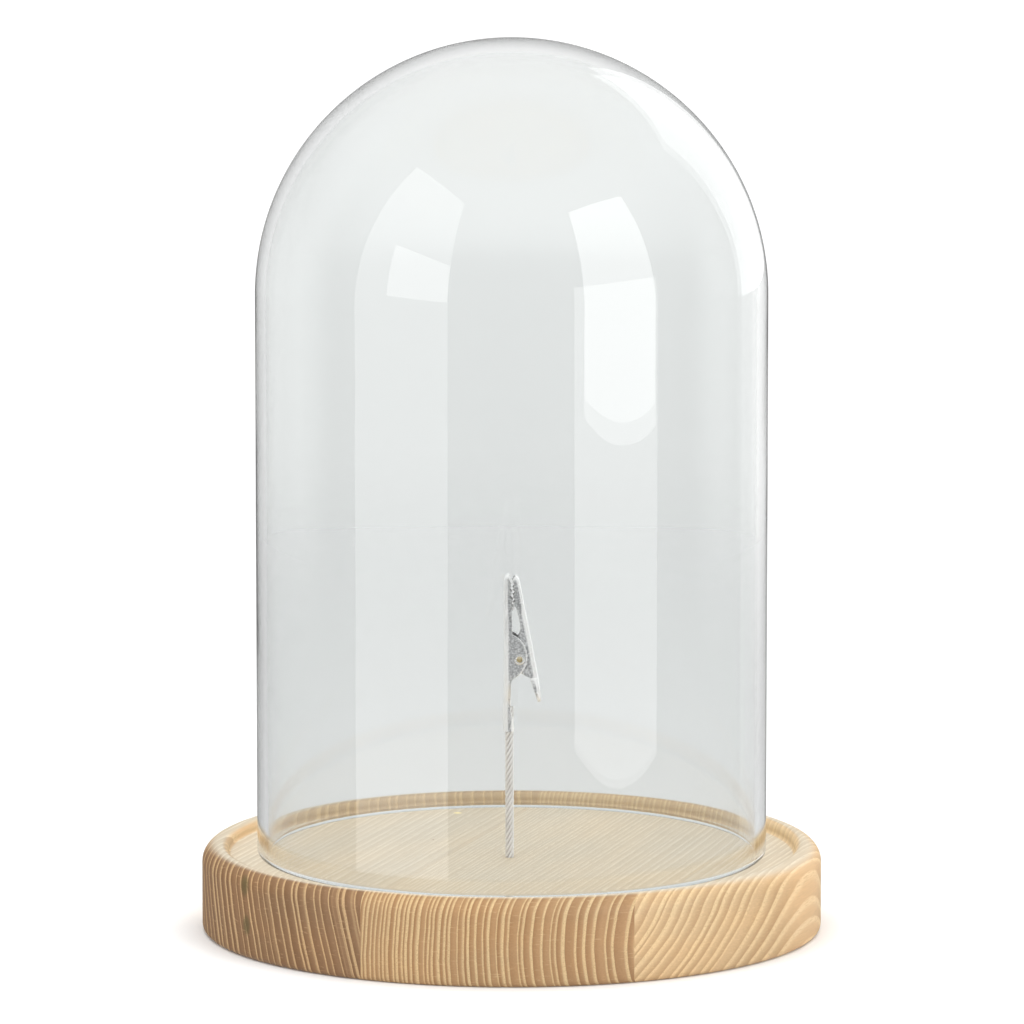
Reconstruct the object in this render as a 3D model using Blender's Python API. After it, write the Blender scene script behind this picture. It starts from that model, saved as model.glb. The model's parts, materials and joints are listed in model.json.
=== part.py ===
"""A bell jar dome: a loose glass dome on a turned wooden base, round a clip on an upright wire rope.

Run it with blender --background --python part.py, or from the text editor. Metres, +Z up. The origin is
the middle of the base's underside. The jaws of the clip open in the XZ plane.
"""
import math

import bmesh
import bpy
from mathutils import Matrix, Vector

MM = 0.001

# Base: three boards, edge-glued and turned to a disc with a shallow recess.
BASE_RADIUS = 73.0 * MM
BASE_HEIGHT = 20.3 * MM
RECESS_DEPTH = 2.8 * MM
RIM_OUTER_ROUND = 4.2 * MM
RIM_INNER_ROUND = 1.8 * MM
RECESS_COVE = 0.9 * MM
RECESS_RADIUS = 66.9 * MM
LOWER_EDGE_ROUND = 1.5 * MM
BOARD_SLANT = math.radians(17.5)        # the boards run front to back, slanting to the right
LEFT_JOINT = -13.7 * MM                 # distances of the two glue joints from the middle
RIGHT_JOINT = 47.0 * MM
GLUE_GAP = 0.3 * MM

# Dome: one blown piece with a half-round top, a little thicker at the crown.
DOME_RADIUS = 60.0 * MM
DOME_WALL = 2.5 * MM
DOME_CROWN = 3.2 * MM
DOME_HEIGHT = 192.6 * MM
REST_GAP = 0.3 * MM

# Stem: a wire rope of six strands round a straight one, glued into a blind hole.
STEM_X = -0.5 * MM
STEM_Y = -4.0 * MM
STEM_TOP = 53.4 * MM
STEM_HOLE_RADIUS = 1.35 * MM
STEM_HOLE_DEPTH = 12.0 * MM
CORE_RADIUS = 0.38 * MM
STRAND_RADIUS = 0.31 * MM
STRAND_ORBIT = 0.74 * MM
STRANDS = 6
ROPE_LAY = 9.5 * MM

# Clip: two folded sheet jaws on a hollow rivet. X is measured from the stem, and Z from the table.
SHEET = 0.45 * MM
PIVOT_X = 2.35 * MM
PIVOT_Z = 65.1 * MM
RIVET_RADIUS = 0.80 * MM
RIVET_BORE = 0.55 * MM
RIVET_HEAD = 1.27 * MM
RIVET_HEAD_THICK = 0.40 * MM
EAR_HOLE = 0.92 * MM
EAR_HALF_WIDTH = 2.575 * MM             # to the middle of the sheet of the outer, fixed ears
INNER_EAR_HALF_WIDTH = 2.02 * MM
JAW_HALF_WIDTH = 2.2 * MM               # at the teeth, where both jaws are as wide
TOOTH_PITCH = 1.8 * MM
TOOTH_DEPTH = 0.6 * MM
TEETH = 4
SPRING_WIRE = 0.22 * MM
SPRING_COIL = 1.38 * MM
SPRING_TURNS = 3.5
SPRING_PITCH = 0.56 * MM

RECESS_FLOOR = BASE_HEIGHT - RECESS_DEPTH
DOME_FOOT = RECESS_FLOOR + REST_GAP
PIVOT = Vector((STEM_X + PIVOT_X, STEM_Y, PIVOT_Z))


def clear_scene():
    for obj in list(bpy.data.objects):
        bpy.data.objects.remove(obj)


def material(name, colour, roughness, metallic=0.0, alpha=1.0):
    made = bpy.data.materials.new(name)
    made.use_nodes = True
    shader = made.node_tree.nodes["Principled BSDF"]
    shader.inputs["Base Color"].default_value = (*colour, 1.0)
    shader.inputs["Roughness"].default_value = roughness
    shader.inputs["Metallic"].default_value = metallic
    shader.inputs["Alpha"].default_value = alpha
    return made


def add_object(name, data, finish, location=(0, 0, 0)):
    obj = bpy.data.objects.new(name, data)
    bpy.context.collection.objects.link(obj)
    data.materials.append(finish)
    obj.location = location
    return obj


def mesh_from(name, bm, sharp_angle=35):
    bmesh.ops.recalc_face_normals(bm, faces=bm.faces)
    mesh = bpy.data.meshes.new(name)
    bm.to_mesh(mesh)
    bm.free()
    mesh.shade_smooth()
    mesh.set_sharp_from_angle(angle=math.radians(sharp_angle))
    return mesh


def arc(centre, radius, start, end, steps):
    """Points of an arc in the profile's plane, with both ends, angles in degrees."""
    points = []
    for step in range(steps + 1):
        angle = math.radians(start + (end - start) * step / steps)
        points.append((centre[0] + radius * math.cos(angle), centre[1] + radius * math.sin(angle)))
    return points


def turned(profile, segments, closed=False):
    """A solid of revolution about Z, from (radius, height) points."""
    bm = bmesh.new()
    verts = [bm.verts.new((radius, 0, height)) for radius, height in profile]
    pairs = list(zip(verts, verts[1:]))
    if closed:
        pairs.append((verts[-1], verts[0]))
    edges = [bm.edges.new(pair) for pair in pairs]
    bmesh.ops.spin(bm, geom=verts + edges, cent=(0, 0, 0), axis=(0, 0, 1), angle=math.tau,
                   steps=segments, use_merge=True)
    bmesh.ops.remove_doubles(bm, verts=bm.verts, dist=1e-7)
    return bm


def cut_away(bm, point, normal):
    """Cuts off what lies beyond a plane and closes the cut."""
    geom = bm.verts[:] + bm.edges[:] + bm.faces[:]
    bmesh.ops.bisect_plane(bm, geom=geom, dist=1e-8, plane_co=point, plane_no=normal, clear_outer=True)
    rim = [edge for edge in bm.edges if edge.is_boundary]
    bmesh.ops.holes_fill(bm, edges=rim, sides=0)


def cylinder_cutter(name, radius, length, location, along_y=False):
    bm = bmesh.new()
    turn = Matrix.Rotation(math.pi / 2, 4, "X") if along_y else Matrix()
    bmesh.ops.create_cone(bm, cap_ends=True, segments=24, radius1=radius, radius2=radius, depth=length,
                          matrix=turn)
    cutter = add_object(name, mesh_from(name, bm), material(name, (0.5, 0.5, 0.5), 0.5), location)
    cutter.hide_render = True
    cutter.display_type = "WIRE"
    return cutter


def subtract(obj, cutter):
    cut = obj.modifiers.new("cut", "BOOLEAN")
    cut.operation = "DIFFERENCE"
    cut.object = cutter


# ---------------------------------------------------------------- base

def base_profile():
    """From the middle of the underside, round the outside, to the middle of the recess."""
    outer = BASE_RADIUS - RIM_OUTER_ROUND
    crest = RECESS_RADIUS + RIM_INNER_ROUND
    low = LOWER_EDGE_ROUND
    return (
        [(0, 0)]
        + arc((BASE_RADIUS - low, low), low, -90, 0, 3)
        + arc((outer, BASE_HEIGHT - RIM_OUTER_ROUND), RIM_OUTER_ROUND, 0, 90, 6)
        + arc((crest, BASE_HEIGHT - RIM_INNER_ROUND), RIM_INNER_ROUND, 93, 180, 4)
        + arc((RECESS_RADIUS - RECESS_COVE, RECESS_FLOOR + RECESS_COVE), RECESS_COVE, 0, -90, 3)
        + [(0, RECESS_FLOOR)]
    )


def board(name, left, right, colour):
    """The strip of the turned disc between two glue joints. None is the disc's own edge."""
    bm = turned(base_profile(), 72)
    across = Vector((math.cos(BOARD_SLANT), -math.sin(BOARD_SLANT), 0))
    if left is not None:
        cut_away(bm, across * (left + GLUE_GAP / 2), -across)
    if right is not None:
        cut_away(bm, across * (right - GLUE_GAP / 2), across)
    return add_object(name, mesh_from(name, bm), material(name, colour, 0.55))


def build_base():
    board("base_board_left", None, LEFT_JOINT, (0.55, 0.36, 0.20))
    middle = board("base_board_middle", LEFT_JOINT, RIGHT_JOINT, (0.66, 0.46, 0.27))
    board("base_board_right", RIGHT_JOINT, None, (0.70, 0.50, 0.29))
    hole_top = RECESS_FLOOR + 1 * MM
    hole_bottom = RECESS_FLOOR - STEM_HOLE_DEPTH
    hole = cylinder_cutter("stem_hole_cutter", STEM_HOLE_RADIUS, hole_top - hole_bottom,
                           (STEM_X, STEM_Y, (hole_top + hole_bottom) / 2))
    subtract(middle, hole)


# ---------------------------------------------------------------- dome

def build_dome():
    """The wall as a closed outline: up the outside, over the top, and down the inside."""
    shoulder = DOME_HEIGHT - DOME_RADIUS
    bore = DOME_RADIUS - DOME_WALL
    lip = 0.5 * MM
    inner_rise = DOME_HEIGHT - DOME_CROWN - shoulder
    inside = []
    for radius, height in arc((0, 0), 1.0, 90, 0, 9):
        inside.append((radius * bore, shoulder + height * inner_rise))
    profile = (
        [(DOME_RADIUS - lip, 0), (DOME_RADIUS, lip)]
        + [(DOME_RADIUS, shoulder / 2)]
        + arc((0, shoulder), DOME_RADIUS, 0, 90, 10)
        + inside
        + [(bore, shoulder / 2), (bore, lip), (bore + lip, 0)]
    )
    bm = turned(profile, 60, closed=True)
    glass = material("glass_dome", (0.93, 0.96, 0.96), 0.05, alpha=0.25)
    add_object("glass_dome", mesh_from("glass_dome", bm), glass, (0, 0, DOME_FOOT))


# ---------------------------------------------------------------- stem

def wire(name, points, radius, finish, location=(0, 0, 0)):
    """A round wire along a list of points, with closed ends."""
    curve = bpy.data.curves.new(name, "CURVE")
    curve.dimensions = "3D"
    curve.resolution_u = 1
    curve.render_resolution_u = 0
    curve.bevel_depth = radius
    curve.bevel_resolution = 1
    curve.use_fill_caps = True
    spline = curve.splines.new("POLY")
    spline.points.add(len(points) - 1)
    for spline_point, point in zip(spline.points, points):
        spline_point.co = (*point, 1.0)
    return add_object(name, curve, finish, location)


def strand_points(index, height):
    """A right-handed helix: seen from the side, the near strands rise to the right."""
    steps = round(height / ROPE_LAY * 10)
    points = []
    for step in range(steps + 1):
        rise = height * step / steps
        angle = math.tau * (rise / ROPE_LAY + index / STRANDS)
        points.append((STRAND_ORBIT * math.cos(angle), STRAND_ORBIT * math.sin(angle), rise))
    return points


def build_stem():
    foot = RECESS_FLOOR - STEM_HOLE_DEPTH + REST_GAP
    height = STEM_TOP - foot
    place = (STEM_X, STEM_Y, foot)
    steel = material("rope_steel", (0.72, 0.71, 0.70), 0.35, 1.0)
    wire("rope_core_strand", [(0, 0, 0), (0, 0, height)], CORE_RADIUS, steel, place)
    for index in range(STRANDS):
        wire(f"rope_strand_{index + 1}", strand_points(index, height), STRAND_RADIUS, steel, place)


# ---------------------------------------------------------------- clip

def folded_section(spine, edge, half_width, corner):
    """Half a U section, from the middle of the spine round the corner to the edge of the wing.

    spine and edge are (x, z) in millimetres from the stem and the table.
    """
    start = Vector((spine[0], 0, spine[1])) * MM
    along = Vector((edge[0], 0, edge[1])) * MM - start
    depth = along.length
    along.normalize()
    bend = corner * MM
    half = [(0, 0), (0, half_width - bend)]
    for angle in (30, 60, 90):
        turn = math.radians(angle)
        half.append((bend * (1 - math.cos(turn)), half_width - bend + bend * math.sin(turn)))
    half.append((depth, half_width))
    return [start + along * deep + Vector((0, side, 0)) for deep, side in half]


def crimped_section(height, opening):
    """Half of the barrel that is closed round the rope, to `opening` degrees from its back."""
    radius = 1.33 * MM
    points = []
    for step in range(6):
        angle = math.radians(opening * step / 5)
        points.append(Vector((-radius * math.cos(angle), radius * math.sin(angle), height * MM)))
    return points


def folded_sheet(name, halves, finish, origin):
    """Joins half sections into one sheet, mirrored about the clip's middle, and gives it its thickness."""
    bm = bmesh.new()
    to_local = Vector((STEM_X, STEM_Y, 0)) - origin
    rows = []
    for half in halves:
        far = [point * 1 for point in half[:0:-1]]
        section = [Vector((p.x, -p.y, p.z)) for p in far] + half
        rows.append([bm.verts.new(point + to_local) for point in section])
    for low, high in zip(rows, rows[1:]):
        for column in range(len(low) - 1):
            bm.faces.new((low[column], low[column + 1], high[column + 1], high[column]))
    obj = add_object(name, mesh_from(name, bm, 50), finish, origin)
    thick = obj.modifiers.new("thickness", "SOLIDIFY")
    thick.thickness = SHEET
    thick.offset = 0
    thick.use_even_offset = True
    return obj


def fixed_jaw_sections():
    """From the crimped tail up the ears and the teeth to the nose."""
    spine_x = -1.235
    ear_centre = (-1.71, 65.63)
    ear_radius = 5.87
    ear_half = EAR_HALF_WIDTH
    jaw_half = JAW_HALF_WIDTH
    sections = []
    for height, opening in ((47.6, 142), (48.8, 138), (50.6, 128), (51.6, 108), (54.0, 98)):
        sections.append(crimped_section(height, opening))
    sections.append(folded_section((spine_x, 56.2), (0.33, 56.2), 1.75 * MM, 1.0))
    sections.append(folded_section((spine_x, 58.6), (0.33, 58.6), 2.35 * MM, 1.0))
    for angle in (-66.5, -55, -42, -28, -14, 0, 14, 28, 42, 55, 66.5):
        turn = math.radians(angle)
        edge = (ear_centre[0] + ear_radius * math.cos(turn), ear_centre[1] + ear_radius * math.sin(turn))
        sections.append(folded_section((spine_x, edge[1]), edge, ear_half, 1.0))
    sections.append(folded_section((spine_x, 73.2), (0.63, 73.2), 2.4 * MM, 1.0))
    sections.append(folded_section((spine_x, 75.1), (0.55, 75.1), jaw_half, 0.9))
    sections.append(folded_section((spine_x, 75.8), (0.25, 75.8), jaw_half, 0.9))
    pitch = TOOTH_PITCH / MM
    for tooth in range(TEETH):
        tip = (1.15 - 0.22 * tooth, 77.06 + pitch * tooth)
        root = (tip[0] - TOOTH_DEPTH / MM, tip[1] + pitch / 2)
        half = jaw_half - 0.08 * MM * tooth
        sections.append(folded_section((spine_x, tip[1]), tip, half, 0.9))
        sections.append(folded_section((spine_x + 0.04 * tooth, root[1]), root, half, 0.8))
    nose = (((-0.95, 84.15), (0.0, 83.72), 1.75), ((-0.60, 84.60), (0.12, 83.95), 1.65),
            ((-0.10, 84.92), (0.25, 84.20), 1.5))
    for spine, edge, half in nose:
        sections.append(folded_section(spine, edge, half * MM, 0.5))
    return sections


def moving_spine(height):
    """X of the middle of the moving jaw's spine: it leans in towards the tip, and a little less at the tail."""
    stops = ((56.45, 7.16), (59.96, 6.64), (69.1, 5.02), (84.3, 1.99))
    for (low, low_x), (high, high_x) in zip(stops, stops[1:]):
        if height <= high:
            return low_x + (high_x - low_x) * (height - low) / (high - low)
    return stops[-1][1]


def moving_jaw_sections():
    """From the thumb tail up the inner ears and the teeth to the nose."""
    ear_centre = (6.0, 65.4)
    ear_radius = 4.93
    ear_half = INNER_EAR_HALF_WIDTH
    jaw_half = JAW_HALF_WIDTH
    tail = (((6.98, 54.86), (6.50, 54.92), 1.5, 0.35), ((7.18, 55.45), (6.46, 55.35), 2.2, 0.5),
            ((7.14, 56.60), (6.12, 56.45), 2.65, 0.7), ((6.90, 58.20), (5.55, 58.00), 2.75, 0.8),
            ((6.66, 59.90), (4.95, 59.80), 2.3, 0.9))
    sections = [folded_section(spine, edge, half * MM, bend) for spine, edge, half, bend in tail]
    for angle in (255, 238, 222, 207, 193, 180):
        turn = math.radians(angle)
        edge = (ear_centre[0] + ear_radius * math.cos(turn), ear_centre[1] + ear_radius * math.sin(turn))
        sections.append(folded_section((moving_spine(edge[1]), edge[1]), edge, ear_half, 0.9))
    throat = ((67.0, 1.12, 2.02), (68.8, 1.45, 2.02), (70.2, 2.0, 2.02), (71.3, 2.42, 2.02),
              (73.0, 2.45, 2.1), (75.0, 2.15, 2.2), (76.1, 1.80, 2.2))
    for height, edge_x, half in throat:
        sections.append(folded_section((moving_spine(height), height), (edge_x, height), half * MM, 0.9))
    pitch = TOOTH_PITCH / MM
    for tooth in range(TEETH):
        root = (1.58 - 0.05 * tooth, 77.15 + pitch * tooth)
        tip = (root[0] - TOOTH_DEPTH / MM, root[1] + pitch / 2)
        half = jaw_half - 0.08 * MM * tooth
        bend = 0.75 - 0.05 * tooth
        sections.append(folded_section((moving_spine(root[1]), root[1]), root, half, bend))
        sections.append(folded_section((moving_spine(tip[1]), tip[1]), tip, half, bend))
    sections.append(folded_section((1.78, 84.20), (0.88, 83.95), 1.75 * MM, 0.5))
    sections.append(folded_section((1.45, 84.62), (0.85, 84.22), 1.6 * MM, 0.4))
    return sections


def rivet_profile():
    """A tube with a rolled rim at each end, as a closed outline in (radius, length along the rivet)."""
    ear_face = EAR_HALF_WIDTH + SHEET / 2 + 0.06 * MM
    rim = RIVET_HEAD_THICK / 2
    middle = (RIVET_HEAD + RIVET_BORE) / 2
    reach = (RIVET_HEAD - RIVET_BORE) / 2
    top = []
    for cosine, sine in arc((0, 0), 1.0, 0, 180, 6):
        top.append((middle + reach * cosine, ear_face + rim + rim * sine))
    top.insert(0, (RIVET_HEAD - 0.08 * MM, ear_face))
    top.insert(0, (RIVET_RADIUS, ear_face))
    bottom = [(radius, -length) for radius, length in reversed(top)]
    return top + bottom


def build_rivet():
    bm = turned(rivet_profile(), 24, closed=True)
    bmesh.ops.rotate(bm, verts=bm.verts, cent=(0, 0, 0), matrix=Matrix.Rotation(math.pi / 2, 3, "X"))
    finish = material("clip_rivet", (0.80, 0.76, 0.66), 0.3, 1.0)
    add_object("clip_rivet", mesh_from("clip_rivet", bm), finish, PIVOT)


def spring_points():
    """A coil round the rivet, with one leg down to each jaw's tail."""
    half_turns = SPRING_TURNS * SPRING_PITCH / 2
    points = [Vector((-2.95, 0, -6.6)) * MM, Vector((-2.0, 0, -3.2)) * MM]
    for point in points:
        point.y = -half_turns
    steps = round(SPRING_TURNS * 12)
    for step in range(steps + 1):
        angle = math.pi - math.tau * SPRING_TURNS * step / steps
        across = -half_turns + 2 * half_turns * step / steps
        points.append(Vector((SPRING_COIL * math.cos(angle), across, SPRING_COIL * math.sin(angle))))
    points.append(Vector((2.5 * MM, half_turns, -3.2 * MM)))
    points.append(Vector((3.75 * MM, half_turns, -6.0 * MM)))
    return points


def build_clip():
    plated = material("clip_plate", (0.78, 0.78, 0.79), 0.28, 1.0)
    fixed = folded_sheet("clip_fixed_jaw", fixed_jaw_sections(), plated, Vector((STEM_X, STEM_Y, 0)))
    moving = folded_sheet("clip_moving_jaw", moving_jaw_sections(), plated, PIVOT)
    hole = cylinder_cutter("ear_hole_cutter", EAR_HOLE, 8 * MM, PIVOT, along_y=True)
    subtract(fixed, hole)
    subtract(moving, hole)
    build_rivet()
    wire("clip_spring", spring_points(), SPRING_WIRE, material("clip_spring", (0.6, 0.6, 0.62), 0.3, 1.0),
         PIVOT)


clear_scene()
build_base()
build_dome()
build_stem()
build_clip()
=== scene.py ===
"""A bell jar dome with a clip stem, finished for display.

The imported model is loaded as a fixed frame, and a finer piece is built in the place of each of its nodes,
with a small studio round them. Settings are in metres. Patterns in the finishes are in millimetres.
"""

import json
import math

import bmesh
import bpy
from bpy.props import FloatProperty, FloatVectorProperty, IntProperty, PointerProperty
from mathutils import Matrix, Vector


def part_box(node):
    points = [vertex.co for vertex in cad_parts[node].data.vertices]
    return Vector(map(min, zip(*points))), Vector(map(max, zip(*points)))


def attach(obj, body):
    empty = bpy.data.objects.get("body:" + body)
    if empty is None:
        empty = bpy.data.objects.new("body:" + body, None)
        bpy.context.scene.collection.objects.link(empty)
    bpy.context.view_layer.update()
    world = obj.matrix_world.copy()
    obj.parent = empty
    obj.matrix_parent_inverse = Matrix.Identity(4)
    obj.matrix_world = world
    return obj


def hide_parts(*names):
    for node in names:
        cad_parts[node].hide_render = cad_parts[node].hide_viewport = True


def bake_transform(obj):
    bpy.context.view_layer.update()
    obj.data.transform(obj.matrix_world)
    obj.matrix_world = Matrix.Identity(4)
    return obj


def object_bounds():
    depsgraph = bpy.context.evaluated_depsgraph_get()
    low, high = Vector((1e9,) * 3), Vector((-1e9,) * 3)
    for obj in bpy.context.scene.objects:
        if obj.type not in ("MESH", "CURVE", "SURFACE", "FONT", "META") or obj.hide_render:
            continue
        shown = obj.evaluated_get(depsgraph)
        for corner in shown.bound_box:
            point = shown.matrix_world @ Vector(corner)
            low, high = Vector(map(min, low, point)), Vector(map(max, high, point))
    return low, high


bl_info = {
    "name": "Bell Jar Dome",
    "version": (1, 0, 0),
    "blender": (4, 5, 0),
    "location": "View3D > Sidebar > Bell Jar",
    "description": "Builds a glass dome on a wooden base, round a clip on a wire rope stem",
    "category": "Object",
}

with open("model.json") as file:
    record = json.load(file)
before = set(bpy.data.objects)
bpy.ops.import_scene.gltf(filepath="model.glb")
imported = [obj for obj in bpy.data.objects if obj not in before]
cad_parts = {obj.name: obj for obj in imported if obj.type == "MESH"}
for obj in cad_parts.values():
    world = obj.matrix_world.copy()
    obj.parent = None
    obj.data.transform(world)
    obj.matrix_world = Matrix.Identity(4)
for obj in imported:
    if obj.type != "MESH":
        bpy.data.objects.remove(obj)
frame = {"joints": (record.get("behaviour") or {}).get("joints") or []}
CAD_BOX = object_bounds()

MM = 0.001

BASE_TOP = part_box("base_board_middle")[1].z
BASE_RADIUS = CAD_BOX[1].x
DOME_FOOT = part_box("glass_dome")[0].z
DOME_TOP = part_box("glass_dome")[1].z
DOME_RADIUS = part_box("glass_dome")[1].x
STEM_LOW, STEM_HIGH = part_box("rope_core_strand")
STEM = Vector(((STEM_LOW.x + STEM_HIGH.x) / 2, (STEM_LOW.y + STEM_HIGH.y) / 2, 0))
PIVOT = Vector(next(joint["pos_m"] for joint in frame["joints"] if joint["name"] == "jaw_pivot"))


def screen(red, green, blue):
    """A linear colour from the 0 to 255 numbers that a screen shows."""
    levels = []
    for channel in (red, green, blue):
        level = channel / 255
        levels.append(level / 12.92 if level <= 0.04045 else ((level + 0.055) / 1.055) ** 2.4)
    return tuple(levels)


def length(name, description, default):
    return FloatProperty(name=name, description=description, default=default, min=0.0, unit="LENGTH",
                         subtype="DISTANCE", precision=5)


def colour(name, description, default):
    return FloatVectorProperty(name=name, description=description, default=default, size=3, min=0.0,
                               max=1.0, subtype="COLOR")


def number(name, description, default, **limits):
    return FloatProperty(name=name, description=description, default=default, **limits)


def angle(name, description, degrees):
    return FloatProperty(name=name, description=description, default=math.radians(degrees),
                         subtype="ANGLE", unit="ROTATION")


# ---------------------------------------------------------------- settings

class BoardSettings(bpy.types.PropertyGroup):
    """One board of the base: where its rings run, and its colours."""

    pith_across: number("Pith across", "Millimetres from the middle to the heart of the tree", -150.0)
    pith_height: number("Pith height", "Millimetres from the table up to the heart of the tree", 5.0)
    ring: number("Ring", "Millimetres between two rings, 50 mm from the heart", 2.0, min=0.2)
    crowding: number("Crowding", "How fast the rings get closer away from the heart", 0.0)
    swing: number("Swing", "How unevenly the rings are spaced", 1.0, min=0.0)
    line_width: number("Line width", "Millimetres of pale early wood in a ring", 0.6, min=0.0)
    band: colour("Band", "Late wood on the end grain", (0.4, 0.25, 0.12))
    line: colour("Line", "Early wood on the end grain", (0.7, 0.5, 0.3))


class BaseSettings(bpy.types.PropertyGroup):
    """The turned base."""

    recess_radius: length("Recess radius", "Inside radius of the rim", 66.9 * MM)
    recess_depth: length("Recess depth", "From the rim down to the floor", 2.8 * MM)
    outer_round: length("Outer round", "Radius of the rim's outer edge", 4.2 * MM)
    inner_round: length("Inner round", "Radius of the rim's inner edge", 1.8 * MM)
    cove: length("Cove", "Radius at the foot of the rim, inside", 0.9 * MM)
    lower_round: length("Lower round", "Radius of the lower edge", 1.5 * MM)
    slant: angle("Slant", "How far the boards slant from front to back", 17.5)
    left_joint: number("Left joint", "Millimetres from the middle to the left glue joint", -13.7)
    right_joint: number("Right joint", "Millimetres from the middle to the right glue joint", 47.0)
    glue_line: length("Glue line", "Gap between two boards", 0.03 * MM)
    hole_radius: length("Hole radius", "Hole for the stem", 1.09 * MM)
    # The floor colours go on every up-facing face, the rim's top too: partly the floor's own grain, partly
    # painted light from above.
    floor_band_with_painted_light: colour("Floor band", "Late wood on the turned floor", screen(208, 195, 173))
    floor_line_with_painted_light: colour("Floor line", "Early wood on the turned floor", screen(228, 220, 203))
    side_band: colour("Side band", "Late wood along the board's edge", screen(222, 188, 144))
    side_line: colour("Side line", "Early wood along the board's edge", screen(240, 214, 172))


class DomeSettings(bpy.types.PropertyGroup):
    """The blown glass dome."""

    wall: length("Wall", "Thickness of the straight wall", 2.5 * MM)
    crown: length("Crown", "Thickness at the top", 3.2 * MM)
    tint: colour("Tint", "What the glass leaves of the light", (0.868, 0.882, 0.878))
    foot: colour("Foot", "Tint of the thick rim at the foot", (0.60, 0.64, 0.66))
    shade: colour("Shade", "What light keeps as it passes one face", (0.98, 0.985, 0.982))
    ripple: number("Ripple", "Strength of the waves left by blowing", 0.05, min=0.0)


class StemSettings(bpy.types.PropertyGroup):
    """The wire rope."""

    strand_radius: length("Strand radius", "Radius of one strand", 0.31 * MM)
    core_radius: length("Core radius", "Radius of the straight strand", 0.38 * MM)
    orbit: length("Orbit", "From the rope's middle to a strand's middle", 0.74 * MM)
    rope_lay: length("Rope lay", "Rise of a strand in one turn", 9.5 * MM)
    strand_lay: length("Strand lay", "Rise of a wire in one turn of its strand", 4.2 * MM)
    strands: IntProperty(name="Strands", description="Strands round the core", default=6, min=3)
    steel: colour("Steel", "Colour of the wire", (0.98, 0.97, 0.965))


class ClipSettings(bpy.types.PropertyGroup):
    """The toothed clip."""

    sheet: length("Sheet", "Thickness of the jaws", 0.45 * MM)
    edge_round: length("Edge round", "How far the sheet's cut edge is rounded", 0.1 * MM)
    tooth_pitch: length("Tooth pitch", "From tooth to tooth", 1.8 * MM)
    tooth_depth: length("Tooth depth", "From a tip to the root beside it", 0.92 * MM)
    teeth: IntProperty(name="Teeth", description="Teeth of each jaw", default=4, min=1)
    fixed_ear: length("Fixed ear", "Half width of the fixed jaw at its ears", 2.575 * MM)
    moving_ear: length("Moving ear", "Half width of the moving jaw at its ears", 2.02 * MM)
    jaw_width: length("Jaw width", "Half width of both jaws at the teeth", 2.2 * MM)
    ear_hole: length("Ear hole", "Radius of the hole for the rivet", 0.92 * MM)
    rivet_radius: length("Rivet radius", "Radius of the rivet's tube", 0.80 * MM)
    rivet_bore: length("Rivet bore", "Radius of the hole through the rivet", 0.55 * MM)
    rivet_head: length("Rivet head", "Radius of its rolled rim", 1.27 * MM)
    rivet_rim: length("Rivet rim", "Thickness of its rolled rim", 0.40 * MM)
    spring_wire: length("Spring wire", "Radius of the spring's wire", 0.22 * MM)
    spring_coil: length("Spring coil", "Radius of the coil", 1.38 * MM)
    spring_pitch: length("Spring pitch", "From turn to turn", 0.56 * MM)
    spring_turns: number("Spring turns", "Turns in the coil", 3.5, min=1.0)
    plate: colour("Plate", "Nickel plating", (0.97, 0.965, 0.965))
    brass: colour("Brass", "Bare brass inside the rivet", (0.80, 0.66, 0.34))


class StudioSettings(bpy.types.PropertyGroup):
    """The camera, the floor and the lights."""

    distance: length("Distance", "From the camera to the object's middle", 2.0)
    camera_height: length("Camera height", "From the table up to the camera", 0.39688)
    tilt: angle("Tilt", "How far the camera looks down", 8.474)
    lens: number("Lens", "Focal length in millimetres", 302.93)
    floor_radius: length("Floor radius", "Size of the table", 0.9)
    backdrop: number("Backdrop", "Brightness of the white behind the object", 1.0, min=0.0)
    ceiling: number("Ceiling", "Brightness above", 0.90, min=0.0)
    room: number("Room", "Brightness of the room all round", 0.24, min=0.0)
    table_glow: number("Table glow", "Brightness of the table in reflections", 0.80, min=0.0)
    box_left: number("Left box", "Brightness of the left soft box", 1.0, min=0.0)
    box_right: number("Right box", "Brightness of the right soft box", 1.7, min=0.0)
    overhead: number("Overhead", "Brightness of the light above", 2.4, min=0.0)


SETTINGS = {
    "bell_jar_base": BaseSettings,
    "bell_jar_left_board": BoardSettings,
    "bell_jar_middle_board": BoardSettings,
    "bell_jar_right_board": BoardSettings,
    "bell_jar_dome": DomeSettings,
    "bell_jar_stem": StemSettings,
    "bell_jar_clip": ClipSettings,
    "bell_jar_studio": StudioSettings,
}


# ---------------------------------------------------------------- finishes

def joins(operation, turned=False):
    """An operator's method: a Math node of self and other, or of other and self."""
    def method(self, other):
        return self.finish.maths(operation, *((other, self) if turned else (self, other)))
    return method


class Signal:
    """A shader output that takes Python's operators. Each operator adds a Math node."""

    def __init__(self, finish, socket):
        self.finish = finish
        self.socket = socket

    def __abs__(self):
        return self.finish.maths("ABSOLUTE", self)

    __add__, __radd__ = joins("ADD"), joins("ADD", True)
    __sub__, __rsub__ = joins("SUBTRACT"), joins("SUBTRACT", True)
    __mul__, __rmul__ = joins("MULTIPLY"), joins("MULTIPLY", True)
    __truediv__, __rtruediv__ = joins("DIVIDE"), joins("DIVIDE", True)
    __pow__, __rpow__ = joins("POWER"), joins("POWER", True)


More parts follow.
